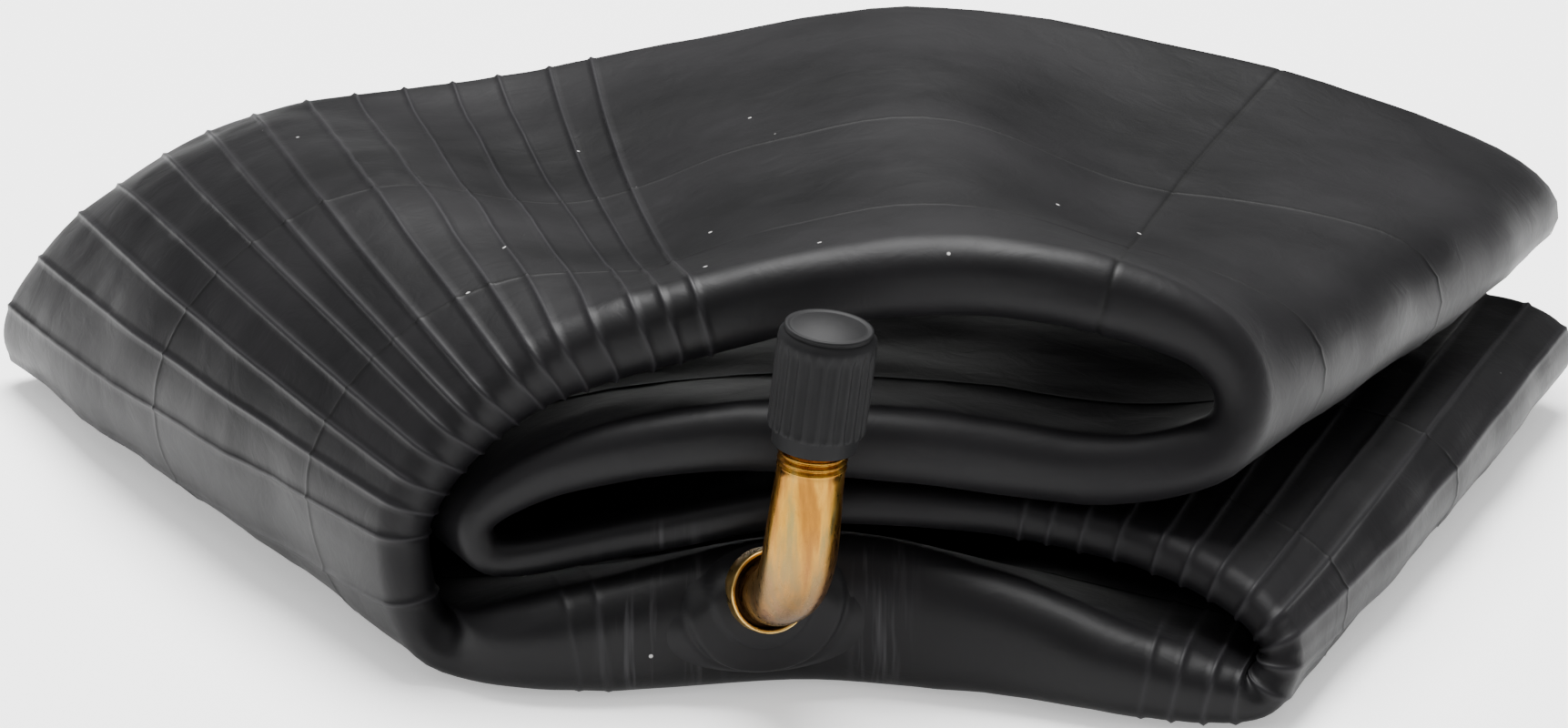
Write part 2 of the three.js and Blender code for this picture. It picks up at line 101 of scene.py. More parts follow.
def ramp(tree, source, low, high, colours=("000000", "ffffff")):
    node = addNode(tree, "ShaderNodeValToRGB", {"Fac": source})
    node.color_ramp.elements[0].position = low
    node.color_ramp.elements[1].position = high
    node.color_ramp.elements[0].color = linearColour(colours[0])
    node.color_ramp.elements[1].color = linearColour(colours[1])
    return node.outputs["Color"]


def finishPiece(mesh, name, material, body, nodes):
    bmesh.ops.recalc_face_normals(mesh, faces=mesh.faces)
    data = bpy.data.meshes.new(name)
    mesh.to_mesh(data)
    mesh.free()
    data.materials.append(material)
    data.shade_smooth()
    piece = bpy.data.objects.new(name, data)
    bpy.context.collection.objects.link(piece)
    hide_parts(*nodes)
    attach(piece, body)
    return piece


# ---- materials ----
rubberLook = {
    "dark": "070708",
    "light": "0f0e10",
    "talc": "59565a",
    # painted highlight colour for the rib crests
    "ribHighlight": "38373a",
    "speck": "d8d6d4",
    # painted shade colour for the mould lines and the sunk splice
    "seamShade": "060606",
    "rubbed": "5d5c5f",
    "roughness": (0.4, 0.6),
    "mottle": 38 * mm,
    "grain": 0.9 * mm,
}


def mixColour(tree, amount, first, second):
    return addNode(tree, "ShaderNodeMix", {"Factor": amount, "A": first, "B": second},
                   data_type="RGBA").outputs["Result"]


def scaled(tree, value, factor):
    return addNode(tree, "ShaderNodeMath", {0: value, 1: factor},
                   operation="MULTIPLY", use_clamp=True).outputs[0]


def butylRubber():
    # moulded butyl: near-black, with a soft sheen and a thin, cloudy haze of talc
    material, tree, shader, place = newMaterial("butylRubber")
    look = rubberLook
    cloud = addNode(tree, "ShaderNodeTexNoise", {
        "Vector": place, "Scale": 1 / look["mottle"], "Detail": 5, "Roughness": 0.55})
    base = ramp(tree, cloud.outputs["Fac"], 0.32, 0.7, (look["dark"], look["light"]))
    haze = addNode(tree, "ShaderNodeTexNoise", {
        "Vector": place, "Scale": 1 / (14 * mm), "Detail": 8, "Roughness": 0.68, "Distortion": 0.6})
    dust = ramp(tree, haze.outputs["Fac"], 0.55, 0.85, ("000000", "323232"))
    base = mixColour(tree, dust, base, linearColour(look["talc"]))

    # painted highlight: the rib crests are painted lighter; painted shade: the mould lines and the sunk
    # splice are painted darker
    ribHighlight = addNode(tree, "ShaderNodeAttribute", attribute_name="ribHighlight").outputs["Fac"]
    seam = addNode(tree, "ShaderNodeAttribute", attribute_name="seam").outputs["Fac"]
    # painted highlight on the rib crests
    base = mixColour(tree, scaled(tree, ribHighlight, 0.2), base, linearColour(look["ribHighlight"]))
    # painted shade along the mould lines and in the splice groove
    base = mixColour(tree, scaled(tree, seam, 0.9), base, linearColour(look["seamShade"]))

    # upright streaks on the rim edge beside the valve, about a millimetre apart
    streak = addNode(tree, "ShaderNodeAttribute", attribute_name="streak").outputs["Fac"]
    stretched = addNode(tree, "ShaderNodeMapping", {"Vector": place, "Scale": (1, 0.08, 0.06)})
    lines = addNode(tree, "ShaderNodeTexNoise", {
        "Vector": stretched.outputs[0], "Scale": 1 / (1.3 * mm), "Detail": 3, "Roughness": 0.6})
    marks = ramp(tree, lines.outputs["Fac"], 0.5, 0.68)
    rubbed = addNode(tree, "ShaderNodeMath", {0: streak, 1: marks}, operation="MULTIPLY").outputs[0]
    base = mixColour(tree, scaled(tree, rubbed, 0.22), base, linearColour(look["rubbed"]))

    # a few specks of lint
    cells = addNode(tree, "ShaderNodeTexVoronoi", {"Vector": place, "Scale": 1 / (11 * mm)})
    speck = ramp(tree, cells.outputs["Distance"], 0.02, 0.026, ("ffffff", "000000"))
    base = mixColour(tree, scaled(tree, speck, 0.6), base, linearColour(look["speck"]))
    tree.links.new(base, shader.inputs["Base Color"])

    fine = addNode(tree, "ShaderNodeTexNoise", {
        "Vector": place, "Scale": 1 / look["grain"], "Detail": 3, "Roughness": 0.6})
    rough = addNode(tree, "ShaderNodeMapRange", {
        "Value": cloud.outputs["Fac"], "From Min": 0.3, "From Max": 0.7,
        "To Min": look["roughness"][0], "To Max": look["roughness"][1]})
    tree.links.new(rough.outputs[0], shader.inputs["Roughness"])
    bump = addNode(tree, "ShaderNodeBump", {
        "Height": fine.outputs["Fac"], "Strength": 0.25, "Distance": 0.05 * mm})
    creases = addNode(tree, "ShaderNodeTexNoise", {
        "Vector": place, "Scale": 1 / (6 * mm), "Detail": 4, "Roughness": 0.55, "Distortion": 1.2})
    bump = addNode(tree, "ShaderNodeBump", {
        "Height": creases.outputs["Fac"], "Strength": 0.2, "Distance": 0.5 * mm, "Normal": bump.outputs[0]})
    tree.links.new(bump.outputs[0], shader.inputs["Normal"])
    shader.inputs["IOR"].default_value = 1.5
    shader.inputs["Specular IOR Level"].default_value = 0.16
    return material


def patchRubber():
    # the moulded patch: an even black rubber with a fine grain
    material, tree, shader, place = newMaterial("patchRubber")
    cloud = addNode(tree, "ShaderNodeTexNoise", {
        "Vector": place, "Scale": 1 / (9 * mm), "Detail": 6, "Roughness": 0.6})
    base = ramp(tree, cloud.outputs["Fac"], 0.35, 0.75, ("0e0e0f", "181719"))
    tree.links.new(base, shader.inputs["Base Color"])
    fine = addNode(tree, "ShaderNodeTexNoise", {
        "Vector": place, "Scale": 1 / (0.7 * mm), "Detail": 3})
    bump = addNode(tree, "ShaderNodeBump", {
        "Height": fine.outputs["Fac"], "Strength": 0.3, "Distance": 0.05 * mm})
    tree.links.new(bump.outputs[0], shader.inputs["Normal"])
    shader.inputs["Roughness"].default_value = 0.5
    shader.inputs["IOR"].default_value = 1.5
    shader.inputs["Specular IOR Level"].default_value = 0.16
    return material


def passivatedBrass():
    # drawn brass with a yellow passivated film: gold with greenish streaks along it,
    # and pinkish where it was bent
    material, tree, shader, place = newMaterial("passivatedBrass")
    drawn = addNode(tree, "ShaderNodeMapping", {"Vector": place, "Scale": (1, 1, 0.16)})
    cloud = addNode(tree, "ShaderNodeTexNoise", {
        "Vector": drawn.outputs[0], "Scale": 1 / (3.4 * mm), "Detail": 5, "Roughness": 0.55,
        "Distortion": 0.3})
    node = addNode(tree, "ShaderNodeValToRGB", {"Fac": cloud.outputs["Fac"]})
    node.color_ramp.elements[0].position = 0.3
    node.color_ramp.elements[0].color = linearColour("6a4620")
    node.color_ramp.elements[1].position = 0.72
    node.color_ramp.elements[1].color = linearColour("8c6a45")
    for position, colour in ((0.42, "8a5c20"), (0.5, "a2762a"), (0.58, "7e6c3c")):
        node.color_ramp.elements.new(position).color = linearColour(colour)
    height = addNode(tree, "ShaderNodeSeparateXYZ", {"Vector": place}).outputs["Z"]
    low = addNode(tree, "ShaderNodeMapRange", {
        "Value": height, "From Min": 25 * mm, "From Max": 16 * mm, "To Min": 0, "To Max": 0.6})
    base = mixColour(tree, low.outputs[0], node.outputs["Color"], linearColour("7b5c44"))
    spots = addNode(tree, "ShaderNodeTexNoise", {
        "Vector": place, "Scale": 1 / (1.1 * mm), "Detail": 6, "Roughness": 0.7})
    tarnish = ramp(tree, spots.outputs["Fac"], 0.6, 0.72, ("000000", "8a8a8a"))
    base = mixColour(tree, tarnish, base, linearColour("4e3218"))
    tree.links.new(base, shader.inputs["Base Color"])
    shader.inputs["Metallic"].default_value = 1
    fine = addNode(tree, "ShaderNodeTexNoise", {
        "Vector": drawn.outputs[0], "Scale": 1 / (0.5 * mm), "Detail": 3})
    rough = addNode(tree, "ShaderNodeMapRange", {
        "Value": fine.outputs["Fac"], "From Min": 0.3, "From Max": 0.7, "To Min": 0.22, "To Max": 0.38})
    tree.links.new(rough.outputs[0], shader.inputs["Roughness"])
    bump = addNode(tree, "ShaderNodeBump", {
        "Height": fine.outputs["Fac"], "Strength": 0.25, "Distance": 0.03 * mm})
    tree.links.new(bump.outputs[0], shader.inputs["Normal"])
    return material


def mouldedPlastic():
    # black polyethylene, injection moulded: an even satin with a fine texture
    material, tree, shader, place = newMaterial("mouldedPlastic")
    cloud = addNode(tree, "ShaderNodeTexNoise", {
        "Vector": place, "Scale": 1 / (5 * mm), "Detail": 5, "Roughness": 0.6})
    base = ramp(tree, cloud.outputs["Fac"], 0.35, 0.75, ("0f0f10", "181819"))
    tree.links.new(base, shader.inputs["Base Color"])
    fine = addNode(tree, "ShaderNodeTexNoise", {
        "Vector": place, "Scale": 1 / (0.35 * mm), "Detail": 2})
    bump = addNode(tree, "ShaderNodeBump", {
        "Height": fine.outputs["Fac"], "Strength": 0.3, "Distance": 0.03 * mm})
    tree.links.new(bump.outputs[0], shader.inputs["Normal"])
    shader.inputs["Roughness"].default_value = 0.55
    shader.inputs["Specular IOR Level"].default_value = 0.12
    return material


def turnedMetal(name, colours, size, roughness):
    # a small turned or drawn piece: fine tool marks and slight tarnish
    material, tree, shader, place = newMaterial(name)
    cloud = addNode(tree, "ShaderNodeTexNoise", {
        "Vector": place, "Scale": 1 / size, "Detail": 5, "Roughness": 0.6})
    base = ramp(tree, cloud.outputs["Fac"], 0.35, 0.7, colours)
    tree.links.new(base, shader.inputs["Base Color"])
    shader.inputs["Metallic"].default_value = 1
    marks = addNode(tree, "ShaderNodeMapRange", {
        "Value": cloud.outputs["Fac"], "From Min": 0.3, "From Max": 0.7,
        "To Min": roughness, "To Max": roughness + 0.15})
    tree.links.new(marks.outputs[0], shader.inputs["Roughness"])
    return material


finishes = {
    "tube": butylRubber(),
    "patch": patchRubber(),
    "brass": passivatedBrass(),
    "ringBrass": turnedMetal("rolledBrass", ("c39a4c", "e6c276"), 1.5 * mm, 0.24),
    # the recess floor in the valve ring: a dark brown brass, made darker still as painted shade of the recess
    "tarnish": turnedMetal("tarnishedAndShadedBrass", ("1c120a", "3a2612"), 1.2 * mm, 0.5),
    "plastic": mouldedPlastic(),
    "coreBrass": turnedMetal("turnedBrass", ("9a7b3c", "c8aa62"), 1.5 * mm, 0.28),
    "springSteel": turnedMetal("springSteel", ("7c7c80", "a5a5a8"), 0.8 * mm, 0.25),
}
print("materials made")

# ---- the tube ----
# Each row of the fold is one straight line across the flattened tube, in millimetres:
# rim edge x, y, z, tread edge x, y, z, thickness at the rim edge, thickness behind it,
# how far it bulges outwards, and 1 where it lies flat on the ground.
tubeFold = [
    (3, -4.2, 8.8, 2, 112, 3.2, 17.6, 6.4, 0, 1),
    (-18, -7.5, 6.9, -39, 110, 3.2, 13.8, 6.4, 0, 1),
    (-31, -6, 5.3, -70, 106, 3.2, 9.6, 6, 0, 1),
    (-38.4, -1.5, 7.2, -92.5, 101, 3.2, 6.6, 5.6, 1, 0.5),
    (-41, 0, 13.7, -99.8, 98, 5.8, 6, 5, 3, 0),
    (-39.9, 0, 20.7, -95.8, 99, 13.4, 6.6, 6, 5.5, 0),
    (-34, 0, 28.7, -86.5, 101.5, 22, 7.5, 6.2, 6.5, 0),
    (-24.5, 0, 35.9, -69, 106, 30.6, 8.5, 6.4, 4.5, 0),
    (-11, 0.5, 41.6, -39, 111, 34.6, 9.2, 6.4, -3.5, 0),
    (5, 1, 45, -11, 113, 39.2, 9.6, 6.4, -0.5, 0),
    (20, 1, 46.2, 17, 113.5, 43.6, 9.6, 6.4, 0, 0),
    (34, 1, 44.8, 46, 111, 40.4, 9.2, 6.4, -5, 0),
    (45, 1, 40, 76, 107, 33.4, 8.2, 6.2, -2, 0),
    (49.3, 0.5, 33, 97, 102, 24.8, 7, 5.4, 3, 0),
    (46, -1, 27, 95, 102, 19.2, 7.6, 5.4, 1, 0),
    (34, -3, 25.2, 73, 106, 18.8, 8.2, 5.6, 0, 0),
    (15, -4, 28.2, 36, 111, 18.6, 8.6, 5.6, 0, 0),
    (-4, -4, 29.6, -8, 112, 18.4, 8, 5.4, 0, 0),
    (-21, -3, 26.6, -52, 109, 17.2, 6.4, 5.2, 0, 0),
    (-31, -2, 21.6, -81, 103, 15.6, 4.4, 4.2, 0, 0),
    (-33.6, -1.5, 17.6, -87.5, 101, 12.4, 3.8, 3.6, 0, 0),
    (-30, -1, 14.4, -82, 103, 9.4, 4.2, 4, 0, 0),
    (-15, -1, 17.2, -48, 109, 10.2, 4.8, 5, 0, 0),
    (3, -1, 20.8, -4, 112, 10.4, 5, 5.2, 0, 0),
    (20, -1, 20, 38, 109, 10.6, 5, 5.2, 0, 0),
    (35, -2, 17.4, 71, 101, 10.8, 5.2, 5.2, 0, 0),
    (46, -6, 14.2, 92, 92, 11.4, 5.2, 5, 1, 0),
    (52.2, -10.5, 10.6, 99.2, 88.5, 9, 4.8, 4.6, 2, 0),
    (53.4, -13.5, 6.4, 97.5, 90, 5.2, 5, 4.6, 1, 0),
    (48, -15.5, 3.8, 85, 97, 3.1, 7, 5.6, 0, 1),
    (36, -13.5, 5.5, 60, 104, 3.2, 10.8, 6.2, 0, 1),
    (21, -8.5, 7.8, 32, 110, 3.2, 15.6, 6.4, 0, 1),
]
tubeShape = {
    "foldCentre": 52,
    "depth": 107,
    "rimRounding": 5.5,
    "rimFullness": 0.8,
    "swellShare": 0.26,
    "pressed": 0.05,
    "bendShare": 0.8,
    "leastSpacing": 3,
    "columnsPerRow": 6,
    "rimSteps": 14,
    "faceSteps": 54,
    "treadSteps": 7,
    # moulded ribs across the tube: their place at the rim edge and at the tread edge, in rows of
    # tubeFold, and their height. The one that is sunk is the splice.
    "ribs": [(1.1, 1.1, 0.14), (1.32, 1.32, 0.14),
             (3.6, 3.85, 0.29), (4.4, 4.48, 0.29), (4.9, 5.15, 0.29), (5.25, 5.73, 0.3), (5.6, 6.1, 0.3),
             (5.9, 6.48, 0.3), (6.15, 6.77, 0.3), (6.4, 7.02, 0.3), (6.7, 7.26, 0.3), (6.93, 7.46, 0.3),
             (7.15, 7.66, 0.3), (7.42, 7.86, 0.3), (7.72, 8.06, 0.29), (7.93, 8.3, 0.26), (8.15, 8.5, 0.3),
             (11.1, 11.6, -0.14),
             (24.4, 23.8, 0.3), (24.6, 24.05, 0.28), (24.85, 24.3, 0.3), (25.15, 24.6, 0.3),
             (25.5, 24.9, 0.3), (25.8, 25.2, 0.3), (26.15, 25.5, 0.3), (26.6, 25.9, 0.3),
             (27.1, 26.3, 0.3), (27.5, 26.95, 0.3), (27.9, 27.9, 0.29), (28.3, 28.3, 0.29),
             (28.85, 28.85, 0.28), (29.2, 29.2, 0.34), (29.5, 29.5, 0.3), (29.75, 29.75, 0.2)],
    "ribWidth": 0.28,
    # mould lines round the tube, by their share of its face
    "mouldLines": [(0.133, 0.1), (0.49, 0.1)],
    "mouldLineWidth": 0.2,
    "faceShare": 0.925,
    "wrinkle": 0.2,
    # the rim edge near the valve has no wrinkles
    "valveAt": (-2, -55.5, 8.5),
    "valveReach": 18,
    # rubbed streaks beside the valve: first x, easing there, last x, easing there
    "streaks": [(-22, 4, -7, 3), (6.5, 2, 15, 4)],
    "streakTop": 20,
}
probe = 0.03
railFront = np.array([[r[0], r[1] - tubeShape["foldCentre"], r[2]] for r in tubeFold], float)
railBack = np.array([[r[3], r[4] - tubeShape["foldCentre"], r[5]] for r in tubeFold], float)
railSizes = np.array([r[6:] for r in tubeFold], float)


def blendRows(values, at):
    # smooth values between the rows of the fold
    count = len(values)
    i = np.floor(at).astype(int)
    f = (at - i)[..., None]
    weights = (-0.5 * f + f ** 2 - 0.5 * f ** 3, 1 - 2.5 * f ** 2 + 1.5 * f ** 3,
               0.5 * f + 2 * f ** 2 - 1.5 * f ** 3, -0.5 * f ** 2 + 0.5 * f ** 3)
    return sum(values[(i + k - 1) % count] * weights[k] for k in range(4))


def smoothStep(x):
    t = np.clip(x, 0, 1)
    return t * t * (3 - 2 * t)


def unit(v):
    return v / np.maximum(np.linalg.norm(v, axis=-1, keepdims=True), 1e-9)


def halfThickness(at, w):
    sizes = blendRows(railSizes, at)
    swell = smoothStep(w / tubeShape["swellShare"])
    return (sizes[..., 0] + (sizes[..., 1] - sizes[..., 0]) * swell) / 2


def bandPoint(at, w):
    # the middle of the flattened tube: at runs round the fold, w from rim edge to tread edge
    middles = railFront + railBack
    nudge = 0.02
    run = blendRows(middles, at + nudge) - blendRows(middles, at - nudge)
    outwards = unit(np.stack([-run[..., 2], 0 * at, run[..., 0]], -1))
    front = blendRows(railFront, at)
    back = blendRows(railBack, at)
    sizes = blendRows(railSizes, at)
    bulge = (sizes[..., 2] * 4 * w * (1 - w))[..., None]
    point = front + (back - front) * w[..., None] + outwards * bulge
    lies = sizes[..., 3]
    point[..., 2] += lies * (halfThickness(at, w) - tubeShape["pressed"] - point[..., 2])
    return point


def bandFrame(at, w):
    # a point, its normal towards the inside of the fold, and how much the band bends towards it
    before, after, here = bandPoint(at - probe, w), bandPoint(at + probe, w), bandPoint(at, w)
    run = after - before
    normal = unit(np.cross(bandPoint(at, w + 0.01) - bandPoint(at, w - 0.01), run))
    step = np.linalg.norm(run, axis=-1) / 2
    bend = ((before + after - 2 * here) * normal).sum(-1) / step ** 2
    return here, normal, bend


def rowPlaces():
    # the vertex rows round one section of the tube, bunched at the mould lines: the stretch that
    # each is on, how far along it, and on which side
    shape = tubeShape
    nearLine = 0.014
    faces = [i / shape["faceSteps"] for i in range(1, shape["faceSteps"])]
    faces = [f for f in faces if all(abs(f - line) > nearLine for line, _ in shape["mouldLines"])]
    for line, _ in shape["mouldLines"]:
        faces += [line + offset / shape["depth"] for offset in (-1.1, -0.5, -0.22, 0, 0.22, 0.5, 1.1)]
    side = [("rim", i / shape["rimSteps"]) for i in range(shape["rimSteps"] + 1)]
    side += [("face", f) for f in sorted(faces)]
    side += [("tread", i / shape["treadSteps"]) for i in range(shape["treadSteps"] + 1)]
    return [(k, f, 1) for k, f in side] + [(k, f, -1) for k, f in reversed(side[1:-1])]


def columnPlaces():
    # even columns round the fold, with a tight bunch at each rib: the rib, the next rib, the share
    # of the way between them, and the millimetres beside each
    ribs = tubeShape["ribs"]
    offsets = (-0.95, -0.5, -0.22, 0, 0.22, 0.5, 0.95)
    columns = []
    for n in range(len(ribs)):
        columns += [(n, n, 0.0, offset, offset) for offset in offsets]
        following = ribs[n + 1][0] if n + 1 < len(ribs) else ribs[0][0] + len(tubeFold)
        gap = following - ribs[n][0]
        between = max(2, round(gap * tubeShape["columnsPerRow"]))
        columns += [(n, n + 1, i / (between + 1), offsets[-1], offsets[0]) for i in range(1, between + 1)]
    marks = np.array([r[:2] for r in ribs] + [(ribs[0][0] + len(tubeFold), ribs[0][1] + len(tubeFold))])
    return columns, marks


def tubeSurface():
    rows = rowPlaces()
    columns, marks = columnPlaces()
    first, second = (np.array([c[k] for c in columns])[:, None] for k in (0, 1))
    share, offsetA, offsetB = (np.array([c[k] for c in columns])[:, None] for k in (2, 3, 4))
    roughly = (marks[first, 0] * (1 - share) + marks[second, 0] * share) * np.ones((1, len(rows)))

    sizes = blendRows(railSizes, roughly)
    depth = np.linalg.norm(blendRows(railBack, roughly) - blendRows(railFront, roughly), axis=-1)
    rimRound = np.minimum(sizes[..., 0] / 2, tubeShape["rimRounding"])
    treadRound = sizes[..., 1] / 2
    kinds = np.array([r[0] for r in rows])
    fractions = np.array([r[1] for r in rows], float)[None, :]
    turn = np.where(kinds == "tread", 1 - fractions, fractions) * math.pi / 2
    start, end = rimRound / depth, 1 - treadRound / depth
    w = np.where(kinds == "rim", rimRound * (1 - np.cos(turn)) / depth,
                 np.where(kinds == "tread", 1 - treadRound * (1 - np.cos(turn)) / depth,
                          start + (end - start) * fractions))
    fullness = np.where(kinds == "rim", tubeShape["rimFullness"], 1.0)
    taper = np.where(kinds == "face", 1.0, np.sin(turn) ** fullness)

    def spacing(places):
        # millimetres from one row of the fold to the next
        ahead = bandPoint(places + probe, w) - bandPoint(places - probe, w)
        return np.maximum(np.linalg.norm(ahead, axis=-1) / (2 * probe), tubeShape["leastSpacing"])

    def ribAt(n):
        return marks[n, 0] + (marks[n, 1] - marks[n, 0]) * w

    markA, markB = ribAt(first), ribAt(second)
    stepA, stepB = spacing(markA), spacing(markB)
    placeA = markA + offsetA / stepA
    placeB = markB + offsetB / stepB
    at = np.where(first == second, placeA, placeA + (placeB - placeA) * share)
    side = np.array([r[2] for r in rows])[None, :]
    here, normal, bend = bandFrame(at, w)
    half = halfThickness(at, w) * taper
    room = np.where(bend * side > 0, tubeShape["bendShare"] / np.maximum(np.abs(bend), 1e-6), 1e9)
    points = here + normal * (side * np.minimum(half, room))[..., None]
    points[..., 2] = np.maximum(points[..., 2], 0)

    # how high the ribs on either side stand here
    heights = np.array([r[2] for r in tubeShape["ribs"]] + [tubeShape["ribs"][0][2]])
    width = tubeShape["ribWidth"]
    ribs = heights[first] * np.exp(-((at - markA) * stepA / width) ** 2)
    ribs += np.where(first == second, 0, heights[second] * np.exp(-((at - markB) * stepB / width) ** 2))
    facePlace = np.where(kinds == "face", fractions, 9) * np.ones_like(at)
    return points, at, w, depth, ribs, facePlace


def waves(points, size, seed, count=14):
    # smooth, seeded unevenness about `size` millimetres across
    random = np.random.default_rng(seed)
    total = np.zeros(points.shape[:-1])
    for _ in range(count):
        direction = unit(random.normal(size=3)) * random.uniform(0.6, 1.5) * 2 * math.pi / size
        total += np.sin(points @ direction + random.uniform(0, 2 * math.pi))
    return total / math.sqrt(count)


def surfaceNormals(points):
    run = np.roll(points, -1, 0) - np.roll(points, 1, 0)
    across = np.roll(points, -1, 1) - np.roll(points, 1, 1)
    return unit(np.cross(run, across))


def tubeRelief(points, depth, ribs, facePlace):
    # how far the moulded and creased surface stands out from the plain one
    shape = tubeShape
    seam = np.zeros_like(ribs)
    for place, height in shape["mouldLines"]:
        away = (facePlace - place) * depth * shape["faceShare"]
        seam += height * np.exp(-(away / shape["mouldLineWidth"]) ** 2)
    relief = ribs + seam
    valveX, valveY, valveZ = shape["valveAt"]
    away = np.hypot(points[..., 0] - valveX, points[..., 2] - valveZ)
    under = smoothStep((shape["valveReach"] - away) / 5) * smoothStep((valveY + 8 - points[..., 1]) / 4)
    wrinkle = shape["wrinkle"] * (1 - under)
    relief += wrinkle * (waves(points, 26, 3) + 0.3 * waves(points, 9, 5))
    return relief, seam / shape["mouldLines"][0][1]


def rimStreaks(points, w):
    # where the rim edge beside the valve carries rubbed upright streaks: 0 to 1
    x, z = points[..., 0], points[..., 2]
    rubbed = sum(smoothStep((x - first) / easeIn) * smoothStep((last - x) / easeOut)
                 for first, easeIn, last, easeOut in tubeShape["streaks"])
    low = smoothStep((tubeShape["streakTop"] - z) / 3) * smoothStep((0.1 - w) / 0.04)
    return rubbed * low


def makeTube():
    points, at, w, depth, ribs, facePlace = tubeSurface()
    columns, rows = at.shape
    normals = surfaceNormals(points)
    facing = ((points - bandPoint(at, w)) * normals).sum(-1)
    if (facing < 0).mean() > 0.5:
        normals = -normals
    relief, seam = tubeRelief(points, depth, ribs, facePlace)
    streaks = rimStreaks(points, w)
    points = points + normals * relief[..., None]
    points[..., 2] = np.maximum(points[..., 2], 0)

    mesh = bmesh.new()
    bmesh.ops.create_grid(mesh, x_segments=columns, y_segments=rows, size=1)
    layers = mesh.verts.layers.float
    ribHighlightLayer, seamShadeLayer, streakLayer = (layers.new(n) for n in ("ribHighlight", "seam", "streak"))
    for vertex in mesh.verts:
        i = round((vertex.co.x + 1) / 2 * columns) % columns
        j = round((vertex.co.y + 1) / 2 * rows) % rows
        vertex.co = points[i, j] * mm
        # how strongly each vertex takes the painted rib-crest highlight
        vertex[ribHighlightLayer] = max(ribs[i, j], 0) / 0.3
        # how strongly each vertex takes the painted shade of the mould lines and splice
        vertex[seamShadeLayer] = seam[i, j] + max(-ribs[i, j], 0) / 0.14
        vertex[streakLayer] = streaks[i, j]
    bmesh.ops.remove_doubles(mesh, verts=mesh.verts, dist=1e-7)
    print("tube grid", columns, rows, len(mesh.verts))
    finishPiece(mesh, "foldedTube", finishes["tube"], "tube", ["tube_body"])


makeTube()
print("tube made")

# ---- the valve ----
# Where the valve leaves the rim edge and where its upright part points, in millimetres.
valvePlace = {
    "base": (-2.3119, -56.0779, 12.4974),
    "baseDirection": (0.363479, -0.899643, 0.241922),
    "elbow": (1.1048, -64.5345, 14.7715),
    "tip": (4.6034, -66.0425, 44.9318),
    "stemDirection": (0.115085, -0.049606, 0.992116),
}
baseMatrix = Matrix.Translation(valvePlace["base"]) @ \
    Vector(valvePlace["baseDirection"]).to_track_quat("Z", "Y").to_matrix().to_4x4()
tipMatrix = Matrix.Translation(valvePlace["tip"]) @ \
    Vector(valvePlace["stemDirection"]).to_track_quat("Z", "Y").to_matrix().to_4x4()


def spunShape(mesh, profile, steps, matrix=None):
    # turns a chain of (radius, height) points round the Z axis
    verts = [mesh.verts.new((r, 0, z)) for r, z in profile]
    edges = [mesh.edges.new(pair) for pair in zip(verts, verts[1:])]
    bmesh.ops.spin(mesh, geom=verts + edges, cent=(0, 0, 0), axis=(0, 0, 1), dvec=(0, 0, 0),
                   angle=2 * math.pi, steps=steps, use_merge=True, use_normal_flip=False,
                   use_duplicate=False)
    bmesh.ops.remove_doubles(mesh, verts=mesh.verts, dist=1e-4)
    if matrix:
        mesh.transform(matrix)


def rounded(profile, radius, steps=3):
    # a chain of points with its inner corners rounded
    points = [Vector(p) for p in profile]
    out = [points[0]]
    for before, corner, after in zip(points, points[1:], points[2:]):
        reach = min(radius, (before - corner).length * 0.45, (after - corner).length * 0.45)
        start = corner + (before - corner).normalized() * reach
        end = corner + (after - corner).normalized() * reach
        for i in range(steps + 1):
            t = i / steps
            out.append(start * (1 - t) ** 2 + corner * 2 * t * (1 - t) + end * t * t)
    return [tuple(p) for p in out + [points[-1]]]


stemShape = {
    "radius": 3.85,
    "shank": 3.74,
    "bendWide": 4.15,
    "bendDeep": 3.7,
    "bendRadius": 6.5,
    "footAbove": 1.6,
    "bendSteps": 18,
    "plainSteps": 12,
    "threadLength": 14.4,
    "threadPitch": 0.794,
    "threadDepth": 0.42,
    "rowsPerTurn": 9,
    "chamfer": 0.5,
    "bore": 2.9,
    "boreDepth": 9.7,
    "barrelBore": 2.35,
    "barrelDepth": 19.1,
    "passage": 1.5,
    "passageDepth": 20.8,
    "around": 56,
    "collar": 4.75,
    "collarTop": 2.75,
    "ringFoot": 0.35,
    "ringSteps": 96,
    "recess": 0.9,
    "lip": 0.4,
}


